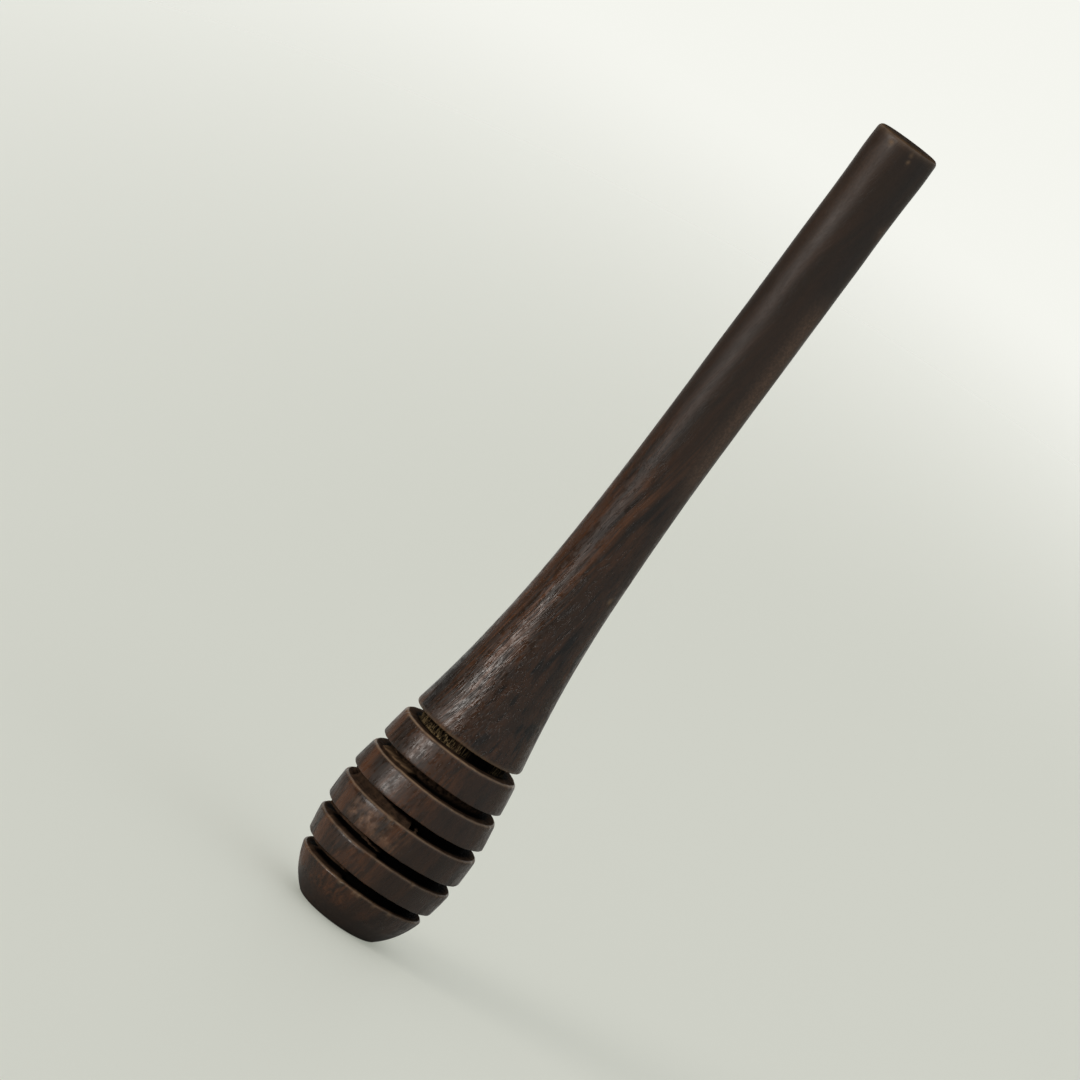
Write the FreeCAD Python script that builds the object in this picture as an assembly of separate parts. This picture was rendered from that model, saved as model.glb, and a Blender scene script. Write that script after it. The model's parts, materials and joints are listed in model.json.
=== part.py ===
import FreeCAD, Part
import math
import os

# A honey dipper of dark turned wood: a straight round grip flares out to meet a barrel-shaped, grooved head.
# It is two turnings. They meet at a flat shoulder in the top groove, where the handle's tenon is glued into the head.
# Millimetres and degrees. The dipper stands on the flat of its tip: the centre of that flat is the origin, and +Z
# runs up the handle.

# Head: the outline that all the rings follow, a belly arc that runs into a straight taper
head_diameter = 25.0
belly_height = 17.2
belly_arc_radius = 39.0
head_taper_angle = 8.75

# Head: the tip below the lowest groove
tip_height = 7.2
tip_flat_diameter = 13.8
tip_bulge = 0.7

# Head: rings, listed from the tip upwards, and the grooves below and above them
ring_heights = (4.1, 4.55, 4.3, 4.85)
groove_width = 2.1
groove_depth = 2.5
ring_edge_chamfer = 0.35

# Handle: the shoulder's rim, the flare up to the grip, and the grip
flare_mouth_diameter = 19.6
flare_mouth_chamfer = 0.35
flare_mouth_angle = 11.0
flare_length = 69.5
flare_mouth_pull_share = 0.26
flare_grip_pull_share = 0.53
grip_diameter = 10.6
grip_length = 45.0
grip_end_chamfer = 0.7

# Glued joint: the tenon under the shoulder, with shallow rings that hold glue, and its socket in the head
tenon_diameter = 9.0
tenon_length = 20.0
tenon_chamfer = 0.8
glue_ring_count = 2
glue_ring_width = 1.0
glue_ring_depth = 0.3
socket_clearance = 0.05
socket_spare_depth = 1.5

# How far a cutter passes the surface that it cuts
cut_overrun = 1.0

# Worked out from the sizes above
head_radius = head_diameter / 2
tip_flat_radius = tip_flat_diameter / 2
flare_mouth_radius = flare_mouth_diameter / 2
grip_radius = grip_diameter / 2
tenon_radius = tenon_diameter / 2
socket_radius = tenon_radius + socket_clearance
head_height = tip_height + sum(ring_heights) + groove_width * (len(ring_heights) + 1)
grip_height = head_height + flare_length
total_height = grip_height + grip_length
taper_angle = math.radians(head_taper_angle)
taper_height = belly_height + belly_arc_radius * math.sin(taper_angle)
taper_radius = head_radius - belly_arc_radius + belly_arc_radius * math.cos(taper_angle)


def place(radius, height):
    """A point of a turned outline."""
    return FreeCAD.Vector(radius, 0, height)


def straight_edges(places):
    """The straight edges that join places in their order."""
    edges = []
    for start, end in zip(places, places[1:]):
        edges.append(Part.LineSegment(start, end).toShape())
    return edges


def turned(edges):
    """The solid that a closed outline sweeps in one turn about the dipper's axis."""
    outline = Part.Face(Part.Wire(edges))
    return outline.revolve(place(0, 0), FreeCAD.Vector(0, 0, 1), 360)


def turned_polygon(places):
    """The solid that a closed outline of straight edges sweeps."""
    return turned(straight_edges(places + places[:1]))


def land_radius(height):
    """Radius of the rings' common outline at a height above the tip."""
    if height > taper_height:
        return taper_radius - (height - taper_height) * math.tan(taper_angle)
    rise = height - belly_height
    return head_radius - belly_arc_radius + math.sqrt(belly_arc_radius ** 2 - rise ** 2)


def bulged_arc(start, end, bulge):
    """An arc between two places that stands out from its chord by the bulge, away from the axis."""
    chord = end - start
    outward = FreeCAD.Vector(chord.z, 0, -chord.x).normalize()
    middle = (start + end) / 2 + outward * bulge
    return Part.Arc(start, middle, end).toShape()


def head_blank():
    """The head before it is grooved: a solid turning from the tip's flat to the neck's top."""
    centre = place(0, 0)
    flat_edge = place(tip_flat_radius, 0)
    tip_top = place(land_radius(tip_height), tip_height)
    belly = place(head_radius, belly_height)
    taper_start = place(taper_radius, taper_height)
    taper_end = place(land_radius(head_height), head_height)
    tip_edge = bulged_arc(flat_edge, tip_top, tip_bulge)
    belly_edge = Part.Arc(tip_top, belly, taper_start).toShape()
    neck_edges = straight_edges([taper_start, taper_end, place(0, head_height), centre])
    return turned(straight_edges([centre, flat_edge]) + [tip_edge, belly_edge] + neck_edges)


def groove_floors():
    """Height of the lower wall of each groove, from the tip upwards."""
    floors = [tip_height]
    for ring_height in ring_heights:
        floors.append(floors[-1] + groove_width + ring_height)
    return floors


def core_radius(floor):
    """Radius of the core in a groove: every groove is cut to the same depth below the outline."""
    return land_radius(floor + groove_width / 2) - groove_depth


def eased_wall(wall, side):
    """Two places where a groove's wall ends in a chamfer, which runs on past the outline.

    The side is -1 on a lower wall and 1 on an upper one.
    """
    rim = land_radius(wall)
    reach = ring_edge_chamfer + cut_overrun
    return [place(rim - ring_edge_chamfer, wall), place(rim + cut_overrun, wall + side * reach)]


def groove_cutter(floor):
    """A groove between two rings, whose mouth opens out to ease the edges of both."""
    core = core_radius(floor)
    roof = floor + groove_width
    lower = eased_wall(floor, -1)
    upper = eased_wall(roof, 1)
    return turned_polygon([place(core, floor)] + lower + upper[::-1] + [place(core, roof)])


def top_groove_cutter(floor):
    """The groove round the neck, open at its top, where the handle's shoulder closes it."""
    core = core_radius(floor)
    above = head_height + cut_overrun
    lower = eased_wall(floor, -1)
    return turned_polygon([place(core, floor)] + lower + [place(lower[-1].x, above), place(core, above)])


def tenon_socket():
    """The flat-bottomed hole that takes the tenon, deeper than the tenon by a space for spare glue."""
    floor = head_height - tenon_length - socket_spare_depth
    above = head_height + cut_overrun
    return turned_polygon([
        place(0, floor),
        place(socket_radius, floor),
        place(socket_radius, above),
        place(0, above),
    ])


def dipper_head():
    """Tip, rings and neck on one core, with the socket for the tenon."""
    head = head_blank()
    floors = groove_floors()
    for floor in floors[:-1]:
        head = head.cut(groove_cutter(floor))
    head = head.cut(top_groove_cutter(floors[-1]))
    return head.cut(tenon_socket())


def flare_edge(mouth, grip_start):
    """The sweep from the shoulder's rim up to the grip: it leaves the rim at an angle and ends straight."""
    rise = grip_start.z - mouth.z
    mouth_pull = rise * flare_mouth_pull_share
    grip_pull = rise * flare_grip_pull_share
    lean = mouth_pull * math.tan(math.radians(flare_mouth_angle))
    curve = Part.BezierCurve()
    curve.setPoles([
        mouth,
        place(mouth.x - lean, mouth.z + mouth_pull),
        place(grip_start.x, grip_start.z - grip_pull),
        grip_start,
    ])
    return curve.toBSpline().toShape()


def tenon_places():
    """The tenon's outline from its end up to its root, with the glue rings evenly spaced along it."""
    end = head_height - tenon_length
    places = [place(tenon_radius - tenon_chamfer, end), place(tenon_radius, end + tenon_chamfer)]
    step = tenon_length / (glue_ring_count + 1)
    ring_floor = tenon_radius - glue_ring_depth
    for number in range(1, glue_ring_count + 1):
        low = end + step * number - glue_ring_width / 2
        high = low + glue_ring_width
        places += [place(tenon_radius, low), place(ring_floor, low), place(ring_floor, high), place(tenon_radius, high)]
    return places + [place(tenon_radius, head_height)]


def handle():
    """Tenon, shoulder, flare and grip as one turning."""
    tenon = [place(0, head_height - tenon_length)] + tenon_places()
    rim = place(flare_mouth_radius - flare_mouth_chamfer, head_height)
    mouth = place(flare_mouth_radius, head_height + flare_mouth_chamfer)
    grip_start = place(grip_radius, grip_height)
    end_start = place(grip_radius, total_height - grip_end_chamfer)
    end_rim = place(grip_radius - grip_end_chamfer, total_height)
    edges = straight_edges(tenon + [rim, mouth])
    edges.append(flare_edge(mouth, grip_start))
    edges += straight_edges([grip_start, end_start, end_rim, place(0, total_height), tenon[0]])
    return turned(edges)


os.makedirs("parts", exist_ok=True)
pieces = {"dipper_head": dipper_head(), "handle": handle()}
for name, shape in pieces.items():
    shape.exportStep(os.path.join("parts", name + ".step"))
    print(name, "valid", shape.isValid(), "solids", len(shape.Solids), "volume", round(shape.Volume))
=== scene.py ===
import json
import math
from collections import namedtuple

import bmesh
import bpy
import numpy as np
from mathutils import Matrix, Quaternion, Vector, noise


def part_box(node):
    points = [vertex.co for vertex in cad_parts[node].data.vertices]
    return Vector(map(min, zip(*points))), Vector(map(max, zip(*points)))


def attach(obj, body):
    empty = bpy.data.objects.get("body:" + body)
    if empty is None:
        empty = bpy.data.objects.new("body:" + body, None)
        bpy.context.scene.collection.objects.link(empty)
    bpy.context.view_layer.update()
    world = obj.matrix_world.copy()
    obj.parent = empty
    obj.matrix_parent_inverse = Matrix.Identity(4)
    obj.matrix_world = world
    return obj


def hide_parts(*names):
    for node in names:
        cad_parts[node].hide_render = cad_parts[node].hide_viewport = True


# A turned honey dipper of dark oiled hardwood, standing on the flat of its tip.
# +Z runs up the handle. The front, which faces the camera, is -Y, and +X is to the right of it.
# Lengths are written in millimetres and brought to metres by mm. Turns about the axis count from the front
# towards +X, and are written in degrees.

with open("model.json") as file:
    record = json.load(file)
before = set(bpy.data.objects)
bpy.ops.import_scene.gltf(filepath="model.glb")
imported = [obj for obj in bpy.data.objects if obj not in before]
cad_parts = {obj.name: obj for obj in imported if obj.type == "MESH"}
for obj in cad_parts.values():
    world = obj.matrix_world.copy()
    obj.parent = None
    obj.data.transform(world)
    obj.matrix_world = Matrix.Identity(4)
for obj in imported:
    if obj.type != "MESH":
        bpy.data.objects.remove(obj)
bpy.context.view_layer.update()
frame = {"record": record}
mm = 0.001

# Sizes read from the frame
head_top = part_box("dipper_head")[1]
handle_low, handle_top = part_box("handle")
head_radius = head_top.x
head_height = head_top.z
mouth_radius = handle_top.x
tenon_end = handle_low.z
total_height = handle_top.z
mounts = {mount["name"]: mount for mount in frame["record"]["mounts"]}
grip_radius = mounts["grip"]["dims"]["r_mm"] * mm

# Head: the outline that the rings follow, the tip, the rings from the tip upwards and the grooves
belly_height = 17.2 * mm
belly_arc_radius = 39.0 * mm
head_taper = math.radians(8.75)
tip_height = 7.2 * mm
tip_flat_radius = 6.9 * mm
tip_bulge = 0.7 * mm
ring_heights = (4.4 * mm, 4.85 * mm, 4.6 * mm, 5.15 * mm)
groove_width = 1.8 * mm
groove_depth = 2.5 * mm
ring_top_round = 0.6 * mm
ring_bottom_round = 0.25 * mm
tip_edge_round = 0.8 * mm
groove_corner_round = 0.2 * mm

# Handle: shoulder, flare and grip
flare_mouth_angle = math.radians(11.0)
flare_length = 69.5 * mm
flare_mouth_pull_share = 0.26
flare_grip_pull_share = 0.53
mouth_edge_round = 0.3 * mm
shoulder_lip = 0.3 * mm
shoulder_lip_width = 0.6 * mm
neck_clearance = 0.3 * mm
grip_end_round = 0.8 * mm

# Glued joint
tenon_radius = 4.5 * mm
tenon_chamfer = 0.8 * mm
glue_ring_count = 2
glue_ring_width = 1.0 * mm
glue_ring_depth = 0.3 * mm
socket_radius = 4.55 * mm
socket_depth = 21.5 * mm

# Fineness of the turned meshes
head_steps = 440
handle_steps = 256
round_segments = 4
outline_step = 0.5 * mm
groove_step = 0.2 * mm
longest_edge = 1.2 * outline_step
weld_distance = 0.001 * mm
sharp_corner = math.radians(40)

# A face this deep inside the rings' outline, or this close to the grip's end, is sawn wood
groove_face_depth = 0.35 * mm
end_face_depth = 0.15 * mm

# Worked out from the sizes above
taper_height = belly_height + belly_arc_radius * math.sin(head_taper)
taper_radius = head_radius - belly_arc_radius * (1 - math.cos(head_taper))
grip_height = head_height + flare_length
groove_floors = [tip_height]
for ring_height in ring_heights:
    groove_floors.append(groove_floors[-1] + groove_width + ring_height)
groove_roofs = [floor + groove_width for floor in groove_floors[:-1]] + [head_height]
neck_floor = groove_floors[-1]
shoulder_rim = head_height - shoulder_lip


# Outlines: each place is a radius, a height and the rounding of the corner there

def land_radius(height):
    """Radius of the rings' common outline at a height."""
    if height > taper_height:
        return taper_radius - (height - taper_height) * math.tan(head_taper)
    rise = height - belly_height
    return head_radius - belly_arc_radius + math.sqrt(belly_arc_radius ** 2 - rise ** 2)


def core_radius(floor):
    """Radius of the core in the groove that has this floor."""
    return land_radius(floor + groove_width / 2) - groove_depth


def heights_between(low, high, step):
    """Even heights strictly between two heights, about a step apart."""
    count = round((high - low) / step)
    return [low + (high - low) * number / count for number in range(1, count)]


def tip_places():
    """The tip's bulged side, from the edge of its flat up to the lowest groove."""
    low = Vector((tip_flat_radius, 0))
    high = Vector((land_radius(tip_height), tip_height))
    chord = high - low
    outward = Vector((chord.y, -chord.x)).normalized()
    arc_radius = chord.length ** 2 / (8 * tip_bulge) + tip_bulge / 2
    centre = (low + high) / 2 - outward * (arc_radius - tip_bulge)
    start = math.atan2(low.y - centre.y, low.x - centre.x)
    end = math.atan2(high.y - centre.y, high.x - centre.x)
    count = round(chord.length / outline_step)
    places = [(low.x, low.y, tip_edge_round)]
    for number in range(1, count):
        angle = start + (end - start) * number / count
        places.append((centre.x + arc_radius * math.cos(angle), centre.y + arc_radius * math.sin(angle), 0))
    return places


def groove_places(floor, roof):
    """A groove between two rings: its walls and its core."""
    core = core_radius(floor)
    places = [(land_radius(floor), floor, ring_top_round), (core, floor, groove_corner_round)]
    for height in heights_between(floor + groove_corner_round, roof - groove_corner_round, groove_step):
        places.append((core, height, 0))
    return places + [(core, roof, groove_corner_round), (land_radius(roof), roof, ring_bottom_round)]


def ring_places(low, high):
    """The side of a ring between its rounded edges."""
    heights = heights_between(low + ring_bottom_round, high - ring_top_round, outline_step)
    return [(land_radius(height), height, 0) for height in heights]


def head_outline():
    """The head, from the tip's flat up to the neck and down into the socket."""
    places = [(0, 0, 0)] + tip_places()
    for floor, roof, next_floor in zip(groove_floors, groove_roofs, groove_floors[1:]):
        places += groove_places(floor, roof) + ring_places(roof, next_floor)
    neck = core_radius(neck_floor)
    socket_floor = head_height - socket_depth
    places.append((land_radius(neck_floor), neck_floor, ring_top_round))
    places.append((neck, neck_floor, groove_corner_round))
    places += [(neck, head_height, 0), (socket_radius, head_height, 0)]
    places += [(socket_radius, socket_floor, 0), (0, socket_floor, 0)]
    return places


def tenon_places():
    """The tenon, from its end up to its root, with its glue rings."""
    places = [(0, tenon_end, 0), (tenon_radius - tenon_chamfer, tenon_end, 0)]
    places.append((tenon_radius, tenon_end + tenon_chamfer, 0))
    spacing = (head_height - tenon_end) / (glue_ring_count + 1)
    ring_floor = tenon_radius - glue_ring_depth
    for number in range(1, glue_ring_count + 1):
        low = tenon_end + spacing * number - glue_ring_width / 2
        high = low + glue_ring_width
        places += [(tenon_radius, low, 0), (ring_floor, low, 0)]
        places += [(ring_floor, high, 0), (tenon_radius, high, 0)]
    return places + [(tenon_radius, head_height, 0)]


def flare_places():
    """The sweep from the shoulder's rim up to the start of the grip, on one cubic curve."""
    mouth_pull = flare_length * flare_mouth_pull_share
    grip_pull = flare_length * flare_grip_pull_share
    poles = (
        Vector((mouth_radius, head_height)),
        Vector((mouth_radius - mouth_pull * math.tan(flare_mouth_angle), head_height + mouth_pull)),
        Vector((grip_radius, grip_height - grip_pull)),
        Vector((grip_radius, grip_height)),
    )
    count = round(flare_length / outline_step)
    places = []
    for number in range(1, count + 1):
        along = number / count
        back = 1 - along
        weights = (back ** 3, 3 * back ** 2 * along, 3 * back * along ** 2, along ** 3)
        place = sum((pole * weight for pole, weight in zip(poles, weights)), Vector((0, 0)))
        places.append((place.x, place.y, 0))
    return places


def handle_outline():
    """The handle, from the tenon's end up to the grip's end."""
    places = tenon_places()
    places.append((core_radius(neck_floor) + neck_clearance, head_height, 0))
    places.append((mouth_radius - shoulder_lip_width, shoulder_rim, 0))
    places.append((mouth_radius, shoulder_rim, mouth_edge_round))
    places += flare_places()
    for height in heights_between(grip_height, total_height - grip_end_round, outline_step):
        places.append((grip_radius, height, 0))
    return places + [(grip_radius, total_height, grip_end_round), (0, total_height, 0)]


# Turning

def select_corners(piece, corners):
    """Selects the vertices that lie at some corners, and nothing else."""
    mesh = bmesh.from_edit_mesh(piece.data)
    bpy.ops.mesh.select_all(action="DESELECT")
    for vertex in mesh.verts:
        if any((vertex.co - corner).length < weld_distance for corner in corners):
            vertex.select_set(True)
    bmesh.update_edit_mesh(piece.data)


def select_long_edges(piece, inmost):
    """Selects the edges that are too long and have both ends outside a radius. Returns how many."""
    mesh = bmesh.from_edit_mesh(piece.data)
    bpy.ops.mesh.select_all(action="DESELECT")
    chosen = []
    for edge in mesh.edges:
        outside = all(vertex.co.x > inmost for vertex in edge.verts)
        if outside and edge.calc_length() > longest_edge:
            chosen.append(edge)
    for edge in chosen:
        edge.select_set(True)
    bmesh.update_edit_mesh(piece.data)
    return len(chosen)


def draw_outline(outline):
    """Merges a new plane's corners at the outline's start, and extrudes that point along the outline."""
    bpy.ops.mesh.select_all(action="SELECT")
    bpy.ops.mesh.merge(type="CENTER")
    start = Vector((outline[0][0], 0, outline[0][1]))
    bpy.ops.transform.translate(value=start)
    for (radius, height, _), (next_radius, next_height, _) in zip(outline, outline[1:]):
        step = (next_radius - radius, 0, next_height - height)
        bpy.ops.mesh.extrude_vertices_move(TRANSFORM_OT_translate={"value": step})


def round_corners(piece, outline):
    """Rounds the outline's corners that ask for it."""
    for ease in sorted({corner[2] for corner in outline if corner[2] > 0}):
        corners = [Vector((radius, 0, height)) for radius, height, wish in outline if wish == ease]
        select_corners(piece, corners)
        bpy.ops.mesh.bevel(affect="VERTICES", offset_type="OFFSET", offset=ease, segments=round_segments)


def turned(name, outline, steps, inmost):
    """A closed piece turned from an outline, whose edges are kept short outside a radius."""
    bpy.ops.object.select_all(action="DESELECT")
    bpy.ops.mesh.primitive_plane_add(size=mm, location=(0, 0, 0))
    piece = bpy.context.object
    piece.name = name
    piece.data.name = name
    bpy.ops.object.mode_set(mode="EDIT")
    draw_outline(outline)
    round_corners(piece, outline)
    while select_long_edges(piece, inmost):
        bpy.ops.mesh.subdivide(number_cuts=1)
    bpy.ops.object.mode_set(mode="OBJECT")
    bpy.ops.object.modifier_add(type="SCREW")
    turning = piece.modifiers[-1]
    turning.steps = steps
    turning.render_steps = steps
    bpy.ops.object.modifier_apply(modifier=turning.name)
    bpy.ops.object.mode_set(mode="EDIT")
    bpy.ops.mesh.select_all(action="SELECT")
    bpy.ops.mesh.remove_doubles(threshold=weld_distance)
    bpy.ops.mesh.normals_make_consistent(inside=False)
    bpy.ops.object.mode_set(mode="OBJECT")
    return piece


# Marks of the cutting tool and of use, with painted shade in the grooves and painted light on ring edges and
# the neck

use_and_light_marks = ("wear", "raw", "soot", "scuff")
mark_names = use_and_light_marks + ("relief",)
just_outside = 1.01


class Surface:
    """A piece's vertices by radius, turn and height, with the moves and the marks to work into them."""

    def __init__(self, piece, hidden_radius=0):
        places = np.empty(len(piece.data.vertices) * 3)
        piece.data.vertices.foreach_get("co", places)
        x, y, z = places.reshape(-1, 3).T
        self.piece = piece
        self.radius = np.hypot(x, y)
        self.turn = np.arctan2(x, -y)
        self.degrees = np.degrees(self.turn)
        self.height = z
        self.shown = self.radius > hidden_radius
        self.outward = np.zeros_like(z)
        self.upward = np.zeros_like(z)
        self.marks = {name: np.zeros_like(z) for name in mark_names}

    def wood_noise(self, across, along, seed, radius=None):
        """Smooth noise through the wood, with waves of one length across the axis and another along it.

        Given a radius, the noise is that radius's own at every depth.
        """
        radius = self.radius if radius is None else radius
        x = radius * np.sin(self.turn) / across + seed
        y = radius * np.cos(self.turn) / across - seed
        z = self.height / along
        return np.array([noise.noise(place) for place in zip(x, y, z)])

    def mark(self, name, strength):
        """Marks each vertex by a strength, where it isn't marked more strongly already."""
        self.marks[name] = np.maximum(self.marks[name], strength)

    def work_in(self):
        """Moves the vertices, and keeps their marks as attributes for the finish of the wood."""
        mesh = self.piece.data
        radius = self.radius + np.where(self.shown, self.outward, 0)
        height = self.height + self.upward
        places = np.stack((radius * np.sin(self.turn), -radius * np.cos(self.turn), height), axis=1)
        mesh.vertices.foreach_set("co", places.ravel())
        mesh.update()
        for name, strength in self.marks.items():
            layer = mesh.attributes.new(name, "FLOAT", "POINT")
            layer.data.foreach_set("value", np.clip(strength, 0, 1).astype(np.float32))


def smooth(low, high, values):
    """0 up to low, 1 from high on, and an even rise between them."""
    share = np.clip((values - low) / (high - low), 0, 1)
    return share * share * (3 - 2 * share)


def bump(values, centre, reach):
    """A bell that is 1 at its centre and fades over its reach."""
    return np.exp(-((values - centre) / reach) ** 2)


def sector(turn, start, end, soft_start, soft_end):
    """1 between two turns, in degrees, with a soft start and a soft end."""
    degrees = np.degrees(turn)
    rise = smooth(start - soft_start, start, degrees)
    return rise * (1 - smooth(end, end + soft_end, degrees))


def closeness(surface, radius, height, reach):
    """1 on the circle at a radius and a height, fading off it over a reach."""
    return np.exp(-((surface.radius - radius) ** 2 + (surface.height - height) ** 2) / reach ** 2)


def edge_closeness(surface, floor, reach):
    """Closeness to the rounded upper edge of the ring whose top is a groove's floor."""
    inset = ring_top_round * 0.3
    return closeness(surface, land_radius(floor) - inset, floor - inset, reach)


def noise_round(turn, wave, seed):
    """Smooth noise round the axis, whose waves are about that long at the belly."""
    reach = head_radius / wave
    return np.array([noise.noise((math.cos(a) * reach, math.sin(a) * reach, seed)) for a in turn])


# Walls of the grooves, which wander up and down in slow and in quick waves
slow_wave = 9 * mm
slow_wander = 0.16 * mm
quick_wave = 1.7 * mm
quick_wander = 0.05 * mm


def wander_walls(surface):
    """Lifts and lowers the walls of the grooves, because none is quite level, and the rings with them."""
    steps = np.arange(head_steps) * math.tau / head_steps
    step_at = np.rint(surface.turn / math.tau * head_steps).astype(int) % head_steps
    walls = [0]
    for floor, roof in zip(groove_floors, groove_roofs):
        walls += [floor, roof]
    wanders = [np.zeros(head_steps)]
    for number in range(1, len(walls) - 1):
        slow = noise_round(steps, slow_wave, seed=number * 3.7)
        quick = noise_round(steps, quick_wave, seed=number * 5.3)
        wanders.append(slow * slow_wander + quick * quick_wander)
    wanders.append(np.zeros(head_steps))
    for low, high, low_wander, high_wander in zip(walls, walls[1:], wanders, wanders[1:]):
        within = (surface.height >= low) & (surface.height <= high) & surface.shown
        share = (surface.height - low) / (high - low)
        level = low_wander[step_at] * (1 - share) + high_wander[step_at] * share
        surface.upward = np.where(within, level, surface.upward)


# What the grooves hold, from the tip upwards: a web of wood that stands on the left, and painted shade
# elsewhere
# turns: where the web starts and ends, in degrees
# stand: how far the web stands out of the core, in millimetres
# first, last: the shares of the groove's height between which the web lies at its start, and at its end
# taper: over how many degrees the first shares change to the last
# floor_rise: how far the groove's floor rises under the web at its core, in millimetres
# wander: how far the web's ends wander, in degrees
# kerf: 1 where a kerf is open under the web and painted dark as shade
# lip: how worn the web's upper edge is
# soot, clean: how dark the painted shade in the groove is, and to which share of the depth the groove is
# free of it
# wear, score: how worn the edge of the ring below is, with a painted highlight along it, and how dark a line
# is scored under it
groove_facts = "turns stand first last taper floor_rise wander kerf lip soot clean wear score"
Groove = namedtuple("Groove", groove_facts)
grooves = (
    Groove(turns=(-66, -18), stand=2.3, first=(0.55, 1.1), last=(0.55, 1.1), taper=24, floor_rise=0.45,
           wander=1, kerf=1, lip=0, soot=1, clean=0.2, wear=0.5, score=0.3),
    Groove(turns=(-66, -4), stand=2.3, first=(0.55, 1.1), last=(0.3, 0.55), taper=20, floor_rise=0.45,
           wander=2, kerf=1, lip=0, soot=1, clean=0.2, wear=0.55, score=0.45),
    Groove(turns=(-70, 2), stand=1.7, first=(-0.1, 1.2), last=(-0.1, 0.45), taper=50, floor_rise=0.35,
           wander=16, kerf=0, lip=0, soot=1, clean=0.3, wear=0.65, score=0.5),
    Groove(turns=(-62, -23), stand=2.3, first=(-0.1, 0.36), last=(-0.1, 0.34), taper=24, floor_rise=0,
           wander=2, kerf=0, lip=0.8, soot=0.45, clean=0.65, wear=0.9, score=0),
    Groove(turns=(0, 0), stand=0, first=(0, 1), last=(0, 1), taper=1, floor_rise=0,
           wander=0, kerf=0, lip=0, soot=0.95, clean=0.65, wear=1, score=0),
)
web_soft_start = 20
web_soft_end = 3
kerf_starts_after = 3
kerf_ends_after = 4
web_roughness = 0.12 * mm
web_ragged_share = 0.05
web_wall_clearance = 0.1 * mm
worn_edge_reach = 0.17 * mm
score_width = 0.13 * mm
score_depth = 0.2 * mm
rise_slack = 0.001


class GrooveSpace:
    """Where each vertex of the head lies in a groove, and how much of it belongs to the groove's web."""

    def __init__(self, surface, floor, roof, groove):
        self.groove = groove
        self.floor = floor
        self.roof = roof
        self.rim = land_radius(floor)
        self.rise = (surface.height - floor) / (roof - floor)
        self.within = (self.rise > -rise_slack) & (self.rise < 1 + rise_slack) & surface.shown
        self.depth = np.clip((self.rim - surface.radius) / groove_depth, 0, 1) * self.within
        seed = floor / mm
        self.crumbs = surface.wood_noise(across=0.5 * mm, along=0.35 * mm, seed=seed, radius=self.rim)
        ragged = surface.wood_noise(across=1.1 * mm, along=0.9 * mm, seed=seed, radius=self.rim)
        start, end = groove.turns
        taper = smooth(end - groove.taper, end, surface.degrees)
        self.low = groove.first[0] + (groove.last[0] - groove.first[0]) * taper
        self.high = groove.first[1] + (groove.last[1] - groove.first[1]) * taper + ragged * web_ragged_share
        wandering = surface.turn + ragged * math.radians(groove.wander)
        self.along = sector(wandering, start, end, web_soft_start, web_soft_end)
        above_low = smooth(self.low - 0.06, self.low + 0.04, self.rise)
        below_high = 1 - smooth(self.high - 0.05, self.high + 0.05, self.rise)
        self.web = above_low * below_high * self.along


def stand_web(surface, space):
    """Stands a groove's web out of its core, within the rings' rounded edges, and raises the floor there."""
    groove = space.groove
    rounding = np.where(space.rise < 0.5, ring_top_round, ring_bottom_round)
    room = groove_depth - rounding
    inward = np.clip((space.rim - rounding - surface.radius) / room, 0, 1) * space.within
    from_wall = np.clip(np.minimum(space.rise, 1 - space.rise), 0, 1) * (space.roof - space.floor)
    rough_stand = groove.stand * mm + space.crumbs * web_roughness
    stand = np.minimum(rough_stand, room - web_wall_clearance + from_wall)
    surface.outward += space.web * inward * stand
    floor_share = smooth(0, 0.9, space.depth) * (1 - np.clip(space.rise, 0, 1))
    surface.upward += space.along * groove.floor_rise * mm * floor_share


def paint_groove_shade(surface, space):
    """Paints shade into a groove, except at its web and the floor and core left open beside it, and scores a
    line on the ring below.
    """
    groove = space.groove
    start, end = groove.turns
    kerf_start = start + kerf_starts_after
    kerf_end = end + kerf_ends_after
    kerf = groove.kerf * sector(surface.turn, kerf_start, kerf_end, soft_start=5, soft_end=3)
    open_floor = space.along * (space.rise < 0.02) * (1 - kerf * smooth(0.38, 0.58, space.depth))
    open_core = space.along * (space.rise < space.low) * (1 - kerf)
    bare = np.maximum(space.web, np.maximum(open_floor, open_core)) * (0.92 + space.crumbs * 0.45)
    # Painted shade: the groove is darkened with depth, except at the web and the open floor and core beside
    # it, and darkest at the foot of the core away from the web.
    inside = smooth(groove.clean, groove.clean + 0.35, space.depth)
    groove_shade = np.clip(groove.soot + (1 - groove.soot) * space.crumbs * 1.8, 0, 1) * inside
    foot_shade = (1 - smooth(0.12, 0.4, space.rise)) * (1 - space.along) * (space.depth > 0.7)
    surface.mark("soot", np.maximum(groove_shade, foot_shade) * (1 - np.clip(bare, 0, 1)))
    line = bump(surface.height, space.floor - ring_top_round * 1.05, score_width)
    line = line * (surface.radius > space.rim - score_depth)
    surface.mark("soot", line * groove.score * sector(surface.turn, -50, -14, soft_start=8, soft_end=10))


def wear_and_glint_edges(surface, space):
    """Wears the edge of the ring below a groove and the edge of the web; along the ring's edge the tan line
    is partly a painted highlight, strongest on the left front where the key lamp falls.
    """
    lit_front = sector(surface.turn, -50, 10, soft_start=20, soft_end=30)
    # Painted highlight: the tan line is stronger on the left front, where the key lamp falls.
    edge = edge_closeness(surface, space.floor, worn_edge_reach) * (0.7 + 0.3 * lit_front)
    lip = space.along * bump(space.rise, space.high, 0.06) * space.depth
    surface.mark("wear", np.maximum(edge * space.groove.wear, lip * space.groove.lip))


# Chips along the upper edges of the rings: the least and the most of each size
chip_count = 26
chip_reaches = (0.2 * mm, 0.6 * mm)
chip_depths = (0.06 * mm, 0.2 * mm)
chip_edge_reach = 0.4 * mm
chip_wear = 0.6


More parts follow.
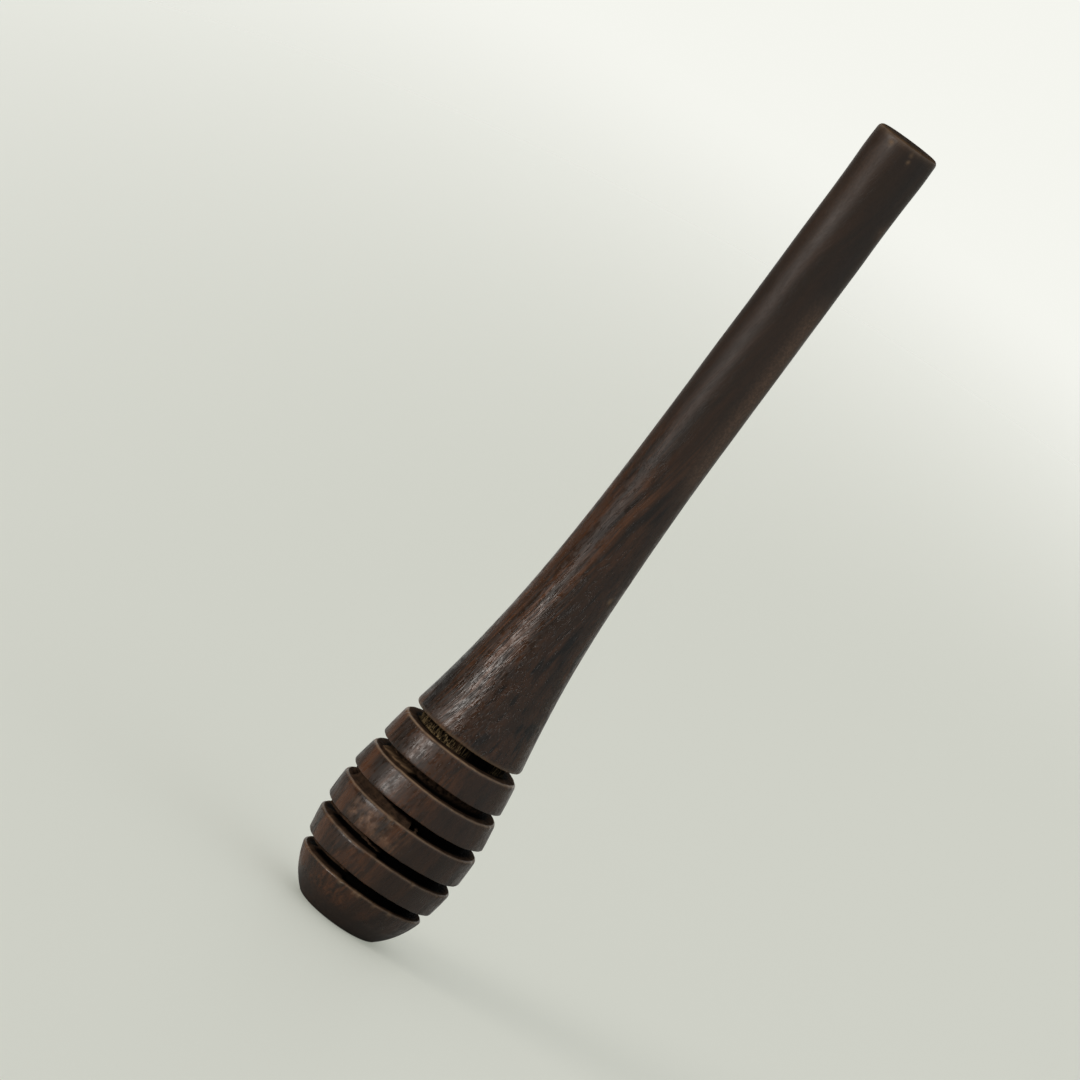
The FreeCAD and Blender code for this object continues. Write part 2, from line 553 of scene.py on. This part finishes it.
def chip_edges(surface):
    """Breaks small chips out of the upper edges of the rings."""
    dice = np.random.default_rng(11)
    for _ in range(chip_count):
        floor = groove_floors[dice.integers(len(groove_floors))]
        away = (surface.turn - dice.uniform(-math.pi, math.pi) + math.pi) % math.tau - math.pi
        across = bump(away * head_radius, 0, dice.uniform(*chip_reaches))
        chip = across * edge_closeness(surface, floor, chip_edge_reach)
        depth = dice.uniform(*chip_depths)
        surface.outward -= chip * depth
        surface.upward -= chip * depth
        surface.mark("wear", chip * chip_wear)


# Neck under the shoulder: its reach below its floor and round its core, and the stand of its torn fibres
neck_foot = 0.1 * mm
neck_skin = 0.3 * mm
torn_fibre_stand = 0.3 * mm

# Tool marks on all that the painted groove shade darkens
tool_mark_depth = 0.07 * mm


def tear_neck(surface):
    """Tears short fibres out of the neck, most on its left, paints them and the foot of the neck gold as
    partly raw wood and partly painted light, and roughens all that the painted groove shade darkens.
    """
    above_floor = surface.height > neck_floor - neck_foot
    near_core = surface.radius < core_radius(neck_floor) + neck_skin
    rise = (surface.height - neck_floor) / (head_height - neck_floor)
    left = sector(surface.turn, -78, -10, soft_start=12, soft_end=28)
    right = sector(surface.turn, 52, 78, soft_start=12, soft_end=12) * 0.4
    torn = np.maximum(left, right) * (above_floor & near_core & surface.shown)
    fibres = torn * smooth(-0.05, 0.2, surface.wood_noise(across=0.24 * mm, along=1.1 * mm, seed=60.5))
    surface.outward += fibres * torn_fibre_stand * smooth(0, 0.35, rise) * (1 - smooth(0.5, 1, rise))
    # The gold is partly raw fibre and partly painted light: strongest on the left, where the key lamp
    # reaches into the neck, and at the neck's foot.
    surface.mark("raw", fibres * (0.95 - 0.5 * smooth(0.4, 0.95, rise)))
    surface.mark("raw", torn * bump(rise, 0, 0.16) * 0.6)
    surface.marks["soot"] *= 1 - torn * 0.06
    tool_marks = surface.wood_noise(across=0.7 * mm, along=1.1 * mm, seed=3)
    surface.outward += tool_marks * tool_mark_depth * surface.marks["soot"]


# Lands of the rings: their unevenness and edge, and where one is scuffed and the one above it is duller
land_unevenness = 0.09 * mm
land_edge = 0.6 * mm
uneven_from = (0.2 * mm, 2.5 * mm)
scuffed_height = 17.6 * mm
scuffed_reach = 2.2 * mm
duller_height = 24.2 * mm
duller_reach = 2.4 * mm


def scuff_lands(surface):
    """Makes the lands uneven, scuffs the front of one ring, dulls another and sets the grain's relief."""
    rims = np.array([land_radius(height) for height in surface.height])
    on_land = 1 - smooth(0, land_edge, rims - surface.radius)
    uneven = surface.wood_noise(across=6 * mm, along=5 * mm, seed=8)
    surface.outward += uneven * land_unevenness * on_land * smooth(*uneven_from, surface.height)
    patches = surface.wood_noise(across=1.9 * mm, along=1.6 * mm, seed=21)
    speckles = surface.wood_noise(across=0.6 * mm, along=0.6 * mm, seed=33)
    front = sector(surface.turn, -36, 0, soft_start=12, soft_end=14)
    scuffed = bump(surface.height, scuffed_height, scuffed_reach) * front
    surface.mark("scuff", scuffed * smooth(-0.5, 0.6, patches + speckles * 0.9) * on_land)
    duller = bump(surface.height, duller_height, duller_reach)
    surface.mark("relief", on_land * (0.8 - 0.2 * duller))


def weather_head(piece):
    """Works the marks of the tool and of use into the head, with painted shade in its grooves and painted
    light on its ring edges and neck.
    """
    surface = Surface(piece, hidden_radius=socket_radius * just_outside)
    wander_walls(surface)
    for floor, roof, groove in zip(groove_floors, groove_roofs, grooves):
        space = GrooveSpace(surface, floor, roof, groove)
        stand_web(surface, space)
        paint_groove_shade(surface, space)
        wear_and_glint_edges(surface, space)
    chip_edges(surface)
    tear_neck(surface)
    scuff_lands(surface)
    surface.work_in()


# Handle: it is a little stouter than its outline, with a swell near its end and a waist below that
handle_stoutness = 0.1 * mm
Swell = namedtuple("Swell", "height reach stand")
swells = (
    Swell(height=146.2 * mm, reach=3.2 * mm, stand=0.1 * mm),
    Swell(height=136 * mm, reach=5 * mm, stand=-0.06 * mm),
)
handle_unevenness = 0.06 * mm
handle_hollows = 0.018 * mm

# Handle: its worn edges, and small nicks near its end and on the right of its flare
end_edge_reach = 0.7 * mm
mouth_edge_reach = 0.35 * mm
end_stain_depth = 0.2 * mm
Nick = namedtuple("Nick", "turn height reach depth")
nicks = (
    Nick(turn=-25, height=148.6 * mm, reach=0.45 * mm, depth=0.1 * mm),
    Nick(turn=15, height=148.9 * mm, reach=0.3 * mm, depth=0.1 * mm),
    Nick(turn=17, height=147.6 * mm, reach=0.25 * mm, depth=0.08 * mm),
    Nick(turn=56, height=65.9 * mm, reach=0.45 * mm, depth=0.12 * mm),
)
nick_wear = 0.6

# Handle: scuffed places of its grip, the heights where they begin and end, and where its grain grows smooth
right_scuff_begins = (82 * mm, 92 * mm)
right_scuff_ends = (118 * mm, 126 * mm)
left_scuff_begins = (116 * mm, 134 * mm)
worn_band_height = 136.4 * mm
worn_band_reach = 1.4 * mm
grain_smooths = (46 * mm, 108 * mm)


def shape_handle(surface, outside):
    """Gives the outside of the handle its swell, its waist, its unevenness and its nicks."""
    shift = handle_stoutness
    for swell in swells:
        shift = shift + swell.stand * bump(surface.height, swell.height, swell.reach)
    shift = shift + handle_unevenness * surface.wood_noise(across=5 * mm, along=16 * mm, seed=5)
    shift = shift + handle_hollows * surface.wood_noise(across=2.2 * mm, along=6 * mm, seed=14)
    surface.outward += shift * outside
    for nick in nicks:
        across = (surface.turn - math.radians(nick.turn)) * surface.radius
        dent = bump(across, 0, nick.reach) * bump(surface.height, nick.height, nick.reach) * outside
        surface.outward -= dent * nick.depth
        surface.mark("wear", dent * nick_wear)


def wear_handle(surface, outside):
    """Wears the handle's edges and its grip, stains its end, and smooths its grain towards the end."""
    surface.mark("wear", closeness(surface, grip_radius, total_height, end_edge_reach) * 0.35)
    surface.mark("wear", closeness(surface, mouth_radius, shoulder_rim, mouth_edge_reach) * 0.5)
    right_side = bump(surface.degrees, centre=52, reach=20) * smooth(*right_scuff_begins, surface.height)
    right_side = right_side * (1 - smooth(*right_scuff_ends, surface.height))
    band_right = bump(surface.degrees, centre=64, reach=14)
    band_left = bump(surface.degrees, centre=-64, reach=14) * 0.4
    worn_band = (band_right + band_left) * bump(surface.height, worn_band_height, worn_band_reach)
    left_side = bump(surface.degrees, centre=-40, reach=30) * smooth(*left_scuff_begins, surface.height)
    surface.mark("scuff", right_side * 0.62 * outside)
    surface.mark("scuff", worn_band * 0.35 * outside)
    surface.mark("scuff", left_side * 0.1 * outside)
    stain_start = total_height - end_stain_depth
    stain_full = total_height - end_stain_depth / 4
    surface.mark("soot", 0.6 * smooth(stain_start, stain_full, surface.height))
    surface.mark("relief", 1 - 0.8 * smooth(*grain_smooths, surface.height))


def weather_handle(piece):
    """Works the marks of the tool and of use into the handle."""
    surface = Surface(piece)
    mouth_top = head_height + mouth_edge_round
    above_joint = (surface.height > mouth_top) & (surface.radius > grip_radius / 2)
    skin = above_joint | (surface.radius > mouth_radius - mouth_edge_round)
    outside = skin * smooth(shoulder_rim, mouth_top, surface.height)
    shape_handle(surface, outside)
    wear_handle(surface, outside)
    surface.work_in()


# Shader helpers

number_socket = "NodeSocketFloat"
colour_socket = "NodeSocketColor"
vector_socket = "NodeSocketVector"


def put(tree, socket, value):
    """Links an output to a socket, or sets the socket to a plain value."""
    if isinstance(value, bpy.types.NodeSocket):
        tree.links.new(value, socket)
    else:
        socket.default_value = value


def add_node(tree, kind, inputs=None, **settings):
    """A new node with its settings and with its inputs linked or set."""
    made = tree.nodes.new(kind)
    for name, value in settings.items():
        setattr(made, name, value)
    for name, value in (inputs or {}).items():
        put(tree, made.inputs[name], value)
    return made


def arithmetic(tree, operation, first, second):
    """The result of an operation on two values."""
    return add_node(tree, "ShaderNodeMath", {0: first, 1: second}, operation=operation).outputs[0]


def product(tree, first, *others):
    """The product of all the values."""
    for other in others:
        first = arithmetic(tree, "MULTIPLY", first, other)
    return first


def total(tree, first, *others):
    """The sum of all the values."""
    for other in others:
        first = arithmetic(tree, "ADD", first, other)
    return first


def vector_arithmetic(tree, operation, first, second):
    """The result of an operation on two vectors."""
    return add_node(tree, "ShaderNodeVectorMath", {0: first, 1: second}, operation=operation).outputs[0]


def in_millimetres(tree, place):
    """A place in millimetres."""
    return add_node(tree, "ShaderNodeVectorMath", {0: place, "Scale": 1 / mm}, operation="SCALE").outputs[0]


def mixed(tree, share, first, second):
    """A colour that goes from the first to the second with the share."""
    return add_node(tree, "ShaderNodeMix", {0: share, 6: first, 7: second}, data_type="RGBA").outputs[2]


def spread(tree, value, low, high):
    """0 where the value is at low, 1 where it is at high, with a smooth rise between."""
    inputs = {"Value": value, "From Min": low, "From Max": high}
    return add_node(tree, "ShaderNodeMapRange", inputs, interpolation_type="SMOOTHSTEP").outputs["Result"]


def between(tree, value, low, high):
    """Brings a value from 0 to 1 into another range."""
    inputs = {"Value": value, "To Min": low, "To Max": high}
    return add_node(tree, "ShaderNodeMapRange", inputs).outputs["Result"]


def even_noise(tree, place, scale, detail):
    """Noise that is alike in every direction. Returns its outputs."""
    inputs = {"Vector": place, "Scale": scale, "Detail": detail}
    return add_node(tree, "ShaderNodeTexNoise", inputs).outputs


def grain_noise(tree, place, across, along, detail):
    """Noise drawn out along the grain: its waves, in millimetres, across the grain and along it."""
    stretch = (1 / across, 1 / across, 1 / along)
    drawn = vector_arithmetic(tree, "MULTIPLY", place, stretch)
    inputs = {"Vector": drawn, "Scale": 1.0, "Detail": detail, "Roughness": 0.55}
    return add_node(tree, "ShaderNodeTexNoise", inputs).outputs["Fac"]


def new_group(name, inputs, outputs):
    """An empty node group with named sockets. Returns the group, its inputs and its outputs."""
    group = bpy.data.node_groups.new(name, "ShaderNodeTree")
    for label, kind in inputs:
        group.interface.new_socket(name=label, in_out="INPUT", socket_type=kind)
    for label, kind in outputs:
        group.interface.new_socket(name=label, in_out="OUTPUT", socket_type=kind)
    start = group.nodes.new("NodeGroupInput")
    end = group.nodes.new("NodeGroupOutput")
    return group, start.outputs, end.inputs


# Finish of the wood: its colours, its sheen and the roughness of sawn wood
heartwood_dark = (0.025, 0.0155, 0.0105, 1)
heartwood_red = (0.07, 0.03, 0.0145, 1)
heartwood_light = (0.125, 0.05, 0.022, 1)
vein_black = (0.009, 0.007, 0.006, 1)
pore_black = (0.006, 0.0045, 0.004, 1)
# A tan for worn edges and chips, which along the rings' upper edges is also a painted highlight
worn_tan_and_glint = (0.28, 0.175, 0.095, 1)
# A gold for raw fibre, which at the neck is also painted light
raw_and_lit_gold = (0.26, 0.185, 0.095, 1)
groove_brown = (0.058, 0.034, 0.021, 1)
# A black for painted shade in the grooves, for a scored line and for the stained end grain
shade_and_stain_black = (0.002, 0.0016, 0.0014, 1)
scuff_red = (0.19, 0.105, 0.063, 1)
oiled_sheen = 0.44
sawn_sheen = 0.02
sawn_roughness = 0.15 * mm

# Figure of the wood: the lean of its grain and, in millimetres, its sway and two layers on its left
grain_lean = math.radians(9)
grain_sway = (2.4, 2.4, 0)
noise_middle = (0.5, 0.5, 0.5)
red_layer_middle = -9.9
red_layer_half_width = 0.9
dark_layer_middle = -8.3
dark_layer_half_width = 1.2
usual_band = 0.45


def wood_layer(tree, across, middle, half_width):
    """1 in a layer of the wood at a place across the dipper, which fades out to its half width."""
    away = arithmetic(tree, "ABSOLUTE", arithmetic(tree, "SUBTRACT", across, middle), 0)
    return spread(tree, away, half_width, 0.2 * half_width)


def swaying_grain(tree, place):
    """A place in wood whose grain leans a little and sways."""
    inputs = {"Vector": place, "Rotation": (0, -grain_lean, 0)}
    leaning = add_node(tree, "ShaderNodeMapping", inputs).outputs[0]
    swirl = even_noise(tree, leaning, scale=0.06, detail=1.0)["Color"]
    sway = vector_arithmetic(tree, "SUBTRACT", swirl, noise_middle)
    sway = vector_arithmetic(tree, "MULTIPLY", sway, grain_sway)
    return vector_arithmetic(tree, "ADD", leaning, sway)


def figure_colour(tree, given, in_mm, grain):
    """The heartwood's colour: red bands, light streaks on its left and back, two layers and dark veins."""
    part = add_node(tree, "ShaderNodeSeparateXYZ", {"Vector": in_mm}).outputs
    drift = between(tree, grain_noise(tree, grain, across=5, along=45, detail=1.0), -14.0, 14.0)
    left = spread(tree, total(tree, part["X"], drift), 6.0, -5.0)
    back = spread(tree, total(tree, part["Y"], drift), -1.0, 6.0)
    zones = arithmetic(tree, "MAXIMUM", left, back)
    layer_sway = between(tree, grain_noise(tree, grain, across=3, along=30, detail=2.0), -1.5, 1.5)
    layers = total(tree, part["X"], layer_sway)
    red_layer = wood_layer(tree, layers, red_layer_middle, red_layer_half_width)
    dark_layer = wood_layer(tree, layers, dark_layer_middle, dark_layer_half_width)
    calm_left = between(tree, spread(tree, layers, -5.0, -7.5), 1.0, 0.55)
    figured = product(tree, spread(tree, given["Relief"], 0.1, 0.75), calm_left)
    bands = spread(tree, grain_noise(tree, grain, across=1.9, along=75, detail=3.0), 0.38, 0.64)
    unusual = product(tree, arithmetic(tree, "SUBTRACT", bands, usual_band), between(tree, zones, 0.4, 1.0))
    bands = product(tree, total(tree, unusual, usual_band), between(tree, figured, 0.2, 1.0))
    bands = product(tree, bands, between(tree, given["Streaks"], 0.5, 1.0))
    streaks = spread(tree, grain_noise(tree, grain, across=0.55, along=22, detail=3.0), 0.42, 0.7)
    veins = spread(tree, grain_noise(tree, grain, across=1.5, along=60, detail=2.0), 0.53, 0.68)
    ground = mixed(tree, bands, heartwood_dark, heartwood_red)
    ground = mixed(tree, product(tree, streaks, zones, figured, given["Streaks"]), ground, heartwood_light)
    ground = mixed(tree, product(tree, red_layer, given["Streaks"]), ground, heartwood_light)
    ground = mixed(tree, product(tree, dark_layer, given["Veins"]), ground, vein_black)
    return mixed(tree, product(tree, veins, figured, given["Veins"]), ground, vein_black)


def figure_gloss(tree, given, grain, mottle, pores):
    """The wood's roughness: polished where its grain stands out, flecked, and dull in its pores."""
    patches = spread(tree, grain_noise(tree, grain, across=6, along=9, detail=2.0), 0.4, 0.66)
    polish = between(tree, given["Relief"], 0.47, 0.13)
    flecks = between(tree, spread(tree, mottle, 0.4, 0.6), -0.07, 0.26)
    gloss = total(tree, between(tree, patches, 0.0, 0.06), polish)
    return total(tree, gloss, product(tree, flecks, given["Relief"]), product(tree, pores, 0.2))


def figure_height(tree, given, grain, mottle, pores):
    """The height of the wood's surface: fibres, knots and speckles, with sunk pores."""
    fibres = grain_noise(tree, grain, across=0.2, along=12, detail=2.0)
    knots = product(tree, grain_noise(tree, grain, across=0.7, along=4, detail=2.0), 0.3)
    raised = total(tree, fibres, knots, product(tree, mottle, given["Speckle"]))
    return arithmetic(tree, "SUBTRACT", product(tree, raised, given["Relief"]), pores)


def wood_figure():
    """The wood's own figure: bands, streaks, veins and pores that run up the dipper and lean a little."""
    strengths = [(label, number_socket) for label in ("Relief", "Streaks", "Veins", "Pores", "Speckle")]
    outputs = [("Color", colour_socket), ("Roughness", number_socket), ("Height", number_socket)]
    tree, given, result = new_group("wood_figure", [("Place", vector_socket)] + strengths, outputs)
    in_mm = in_millimetres(tree, given["Place"])
    grain = swaying_grain(tree, in_mm)
    mottle = grain_noise(tree, grain, across=0.8, along=1.6, detail=3.0)
    pores = spread(tree, grain_noise(tree, grain, across=0.16, along=4, detail=1.0), 0.56, 0.68)
    pores = product(tree, pores, given["Relief"], given["Pores"])
    ground = figure_colour(tree, given, in_mm, grain)
    ground = mixed(tree, product(tree, spread(tree, mottle, 0.5, 0.7), 0.2), ground, vein_black)
    put(tree, result["Color"], mixed(tree, pores, ground, pore_black))
    put(tree, result["Roughness"], figure_gloss(tree, given, grain, mottle, pores))
    put(tree, result["Height"], figure_height(tree, given, grain, mottle, pores))
    return tree


def wear_and_painted_light():
    """What use and the tool leave on the wood, with painted light: worn edges that carry a painted
    highlight, torn fibre partly painted as lit, painted shade in the grooves, a stained end and scuffs.
    """
    marks = [(name.title(), number_socket) for name in use_and_light_marks]
    finish = [("Color", colour_socket), ("Roughness", number_socket)]
    tree, given, result = new_group("wear_and_painted_light", finish + [("Place", vector_socket)] + marks, finish)
    broken = spread(tree, even_noise(tree, given["Place"], scale=0.9 / mm, detail=3.0)["Fac"], 0.28, 0.56)
    wear_and_light = product(tree, given["Wear"], between(tree, broken, 0.5, 1.0))
    flecks = spread(tree, even_noise(tree, given["Place"], scale=2.4 / mm, detail=2.0)["Fac"], 0.4, 0.66)
    scuffing = product(tree, given["Scuff"], between(tree, flecks, 0.5, 1.0))
    in_mm = in_millimetres(tree, given["Place"])
    strands = spread(tree, grain_noise(tree, in_mm, across=0.15, along=1.8, detail=1.0), 0.44, 0.6)
    ground = mixed(tree, scuffing, given["Color"], scuff_red)
    # Painted shade in the grooves, and the stain on the end grain
    ground = mixed(tree, given["Soot"], ground, shade_and_stain_black)
    # Raw fibre in gold, partly painted light
    ground = mixed(tree, product(tree, given["Raw"], strands), ground, raw_and_lit_gold)
    # Worn edges in tan, partly a painted highlight
    put(tree, result["Color"], mixed(tree, wear_and_light, ground, worn_tan_and_glint))
    put(tree, result["Roughness"], total(tree, given["Roughness"], product(tree, wear_and_light, 0.15)))
    return tree


figure_group = wood_figure()
wear_and_light_group = wear_and_painted_light()


def new_material(name):
    """A new material. Returns it with its node tree and its shader."""
    material = bpy.data.materials.new(name)
    material.use_nodes = True
    return material, material.node_tree, material.node_tree.nodes["Principled BSDF"]


def mark_strength(tree, name):
    """How strong a mark is, from the piece's own attribute."""
    return add_node(tree, "ShaderNodeAttribute", attribute_name=name).outputs["Fac"]


def add_marks(tree, place, ground, gloss):
    """The marks of use, with the painted shade and light, over a ground colour. Returns their outputs."""
    inputs = {"Color": ground, "Roughness": gloss, "Place": place}
    for name in use_and_light_marks:
        inputs[name.title()] = mark_strength(tree, name)
    return add_node(tree, "ShaderNodeGroup", inputs, node_tree=wear_and_light_group).outputs


def oiled_wood(name, streaks, veins, pores, speckle, grain_depth):
    """Dark oiled wood, with its figure and its marks."""
    material, tree, shader = new_material(name)
    place = add_node(tree, "ShaderNodeTexCoord").outputs["Object"]
    inputs = {"Place": place, "Relief": mark_strength(tree, "relief")}
    inputs.update({"Streaks": streaks, "Veins": veins, "Pores": pores, "Speckle": speckle})
    figure = add_node(tree, "ShaderNodeGroup", inputs, node_tree=figure_group).outputs
    wear_and_light = add_marks(tree, place, figure["Color"], figure["Roughness"])
    bumps = {"Height": figure["Height"], "Distance": grain_depth}
    put(tree, shader.inputs["Normal"], add_node(tree, "ShaderNodeBump", bumps).outputs["Normal"])
    put(tree, shader.inputs["Base Color"], wear_and_light["Color"])
    put(tree, shader.inputs["Roughness"], wear_and_light["Roughness"])
    put(tree, shader.inputs["Specular IOR Level"], oiled_sheen)
    return material


def sawn_wood():
    """Dull sawn wood in the grooves and on the grip's end, black with painted shade in the grooves and with
    stain on the grip's end where it is marked so.
    """
    material, tree, shader = new_material("sawn_wood")
    place = add_node(tree, "ShaderNodeTexCoord").outputs["Object"]
    crumbs = even_noise(tree, place, scale=0.8 / mm, detail=4.0)["Fac"]
    ground = mixed(tree, spread(tree, crumbs, 0.3, 0.7), heartwood_dark, groove_brown)
    wear_and_light = add_marks(tree, place, ground, between(tree, crumbs, 0.8, 0.95))
    bumps = {"Height": crumbs, "Distance": sawn_roughness}
    put(tree, shader.inputs["Normal"], add_node(tree, "ShaderNodeBump", bumps).outputs["Normal"])
    put(tree, shader.inputs["Base Color"], wear_and_light["Color"])
    put(tree, shader.inputs["Roughness"], wear_and_light["Roughness"])
    put(tree, shader.inputs["Specular IOR Level"], sawn_sheen)
    return material


def dull_grooves(piece):
    """Gives the faces inside the grooves the second material."""
    for face in piece.data.polygons:
        depth = land_radius(face.center.z) - math.hypot(face.center.x, face.center.y)
        if depth > groove_face_depth and face.center.z > tip_height - groove_face_depth:
            face.material_index = 1


def dull_end(piece):
    """Gives the end grain on top of the grip the second material."""
    for face in piece.data.polygons:
        if face.center.z > total_height - end_face_depth:
            face.material_index = 1


# Pieces

bare_wood = sawn_wood()


def grooved_head():
    """The head: tip, rings and neck on one core, with a socket for the tenon."""
    wood = oiled_wood(
        "grooved_head_wood", streaks=0.6, veins=0.32, pores=0.5, speckle=0.7, grain_depth=0.03 * mm)
    piece = turned("grooved_head", head_outline(), head_steps, socket_radius)
    piece.data.materials.append(wood)
    piece.data.materials.append(bare_wood)
    dull_grooves(piece)
    weather_head(piece)
    return piece


def turned_handle():
    """The handle: tenon, shoulder, flare and grip."""
    wood = oiled_wood(
        "turned_handle_wood", streaks=1.0, veins=0.9, pores=0.7, speckle=0.35, grain_depth=0.055 * mm)
    piece = turned("turned_handle", handle_outline(), handle_steps, tenon_radius)
    piece.data.materials.append(wood)
    piece.data.materials.append(bare_wood)
    dull_end(piece)
    weather_handle(piece)
    return piece


for piece, node in ((grooved_head(), "dipper_head"), (turned_handle(), "handle")):
    bpy.ops.object.select_all(action="DESELECT")
    piece.select_set(True)
    bpy.context.view_layer.objects.active = piece
    bpy.ops.object.shade_smooth_by_angle(angle=sharp_corner)
    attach(piece, "root")
    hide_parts(node)


# Stage: a pale floor that fades into a pale backdrop, soft fill light, and a key lamp from the left
floor_grey = (0.56, 0.565, 0.53, 1)
floor_pale = (0.25, 0.26, 0.222, 1)
backdrop_pale = (0.91, 0.915, 0.86, 1)
floor_radius = 2200 * mm
floor_sides = 96
floor_roughness = 0.6
floor_sheen = 0.1
floor_fade_middle = (150 * mm, 0, 0)
floor_fade_stretch = (3.5, 1, 1)
floor_fade_start = 600 * mm
floor_fade_end = 2100 * mm
floor_rear_start = 400 * mm
floor_rear_end = 1200 * mm
fill_left = (0.09, 0.08, 0.07, 1)
fill_right = (0.35, 0.38, 0.38, 1)
fill_right_rear = (0.2, 0.19, 0.16, 1)
fill_behind = (0.6, 0.6, 0.57, 1)
fill_above = (0.75, 0.75, 0.75, 1)
key_strength = 1.4
key_warmth = (1.0, 0.96, 0.91)
key_spread = math.radians(30)
key_from_left = math.radians(54)
key_elevation = math.radians(13)


def seen_rays(tree, behind):
    """1 for rays that see the stage or mirror what is behind the dipper, and 0 for rays that light it."""
    path = add_node(tree, "ShaderNodeLightPath").outputs
    mirrored = arithmetic(tree, "MAXIMUM", path["Is Glossy Ray"], path["Is Transmission Ray"])
    return arithmetic(tree, "MAXIMUM", path["Is Camera Ray"], product(tree, mirrored, behind))


def add_backdrop():
    """The world: a pale backdrop to look at, and soft light that is strongest from above and behind."""
    world = bpy.data.worlds.new("studio")
    bpy.context.scene.world = world
    world.use_nodes = True
    tree = world.node_tree
    direction = add_node(tree, "ShaderNodeTexCoord").outputs["Generated"]
    part = add_node(tree, "ShaderNodeSeparateXYZ", {"Vector": direction}).outputs
    right = mixed(tree, spread(tree, part["Y"], 0.1, 0.5), fill_right, fill_right_rear)
    fill = mixed(tree, spread(tree, part["X"], -0.7, 0.7), fill_left, right)
    fill = mixed(tree, spread(tree, part["Y"], 0.7, 0.95), fill, fill_behind)
    fill = mixed(tree, spread(tree, part["Z"], 0.35, 0.9), fill, fill_above)
    seen = seen_rays(tree, spread(tree, part["Y"], 0.9, 0.99))
    put(tree, tree.nodes["Background"].inputs["Color"], mixed(tree, seen, fill, backdrop_pale))


def pale_floor():
    """A pale grey floor, clear towards its rim."""
    material, tree, shader = new_material("pale_floor")
    place = add_node(tree, "ShaderNodeTexCoord").outputs["Object"]
    offset = vector_arithmetic(tree, "SUBTRACT", place, floor_fade_middle)
    offset = vector_arithmetic(tree, "MULTIPLY", offset, floor_fade_stretch)
    away = add_node(tree, "ShaderNodeVectorMath", {0: offset}, operation="LENGTH").outputs["Value"]
    fade = spread(tree, away, floor_fade_start, floor_fade_end)
    depth = add_node(tree, "ShaderNodeSeparateXYZ", {"Vector": place}).outputs["Y"]
    behind = spread(tree, depth, floor_rear_start, floor_rear_end)
    put(tree, shader.inputs["Base Color"], floor_grey)
    put(tree, shader.inputs["Roughness"], floor_roughness)
    put(tree, shader.inputs["Specular IOR Level"], floor_sheen)
    put(tree, shader.inputs["Emission Color"], floor_pale)
    put(tree, shader.inputs["Emission Strength"], seen_rays(tree, behind))
    put(tree, shader.inputs["Alpha"], arithmetic(tree, "SUBTRACT", 1.0, fade))
    return material


def add_floor():
    """A round floor under the tip, clear at its rim so that no edge shows."""
    bpy.ops.object.select_all(action="DESELECT")
    bpy.ops.mesh.primitive_circle_add(
        vertices=floor_sides, radius=floor_radius, fill_type="TRIFAN", location=(0, 0, 0))
    floor = bpy.context.object
    floor.name = "floor"
    floor.data.materials.append(pale_floor())


def add_key():
    """A broad soft lamp from the left front, a little above the level of the dipper."""
    bpy.ops.object.light_add(type="SUN", location=(0, 0, total_height))
    key = bpy.context.object
    key.data.energy = key_strength
    key.data.color = key_warmth
    key.data.angle = key_spread
    level = math.cos(key_elevation)
    leftward = math.sin(key_from_left) * level
    forward = math.cos(key_from_left) * level
    towards = Vector((-leftward, -forward, math.sin(key_elevation)))
    key.rotation_mode = "QUATERNION"
    key.rotation_quaternion = towards.to_track_quat("Z", "Y")


# Camera: it leans with the dipper, which the photograph shows on the slant
camera_target = Vector((-9.27, 0, 66.67)) * mm
camera_distance = 988.5 * mm
camera_elevation = math.radians(8.2)
camera_roll = math.radians(36.48)
camera_lens = 213
camera_clip_start = 10 * mm


def add_camera():
    """The camera in front of the dipper, rolled so that the handle points to the upper right."""
    back = Vector((0, -math.cos(camera_elevation), math.sin(camera_elevation)))
    bpy.ops.object.camera_add(location=camera_target + back * camera_distance)
    camera = bpy.context.object
    camera.rotation_mode = "QUATERNION"
    camera.rotation_quaternion = (-back).to_track_quat("-Z", "Y") @ Quaternion((0, 0, 1), camera_roll)
    camera.data.lens = camera_lens
    camera.data.clip_start = camera_clip_start
    bpy.context.scene.camera = camera


add_backdrop()
add_floor()
add_key()
add_camera()
bpy.context.scene.view_settings.view_transform = "Standard"
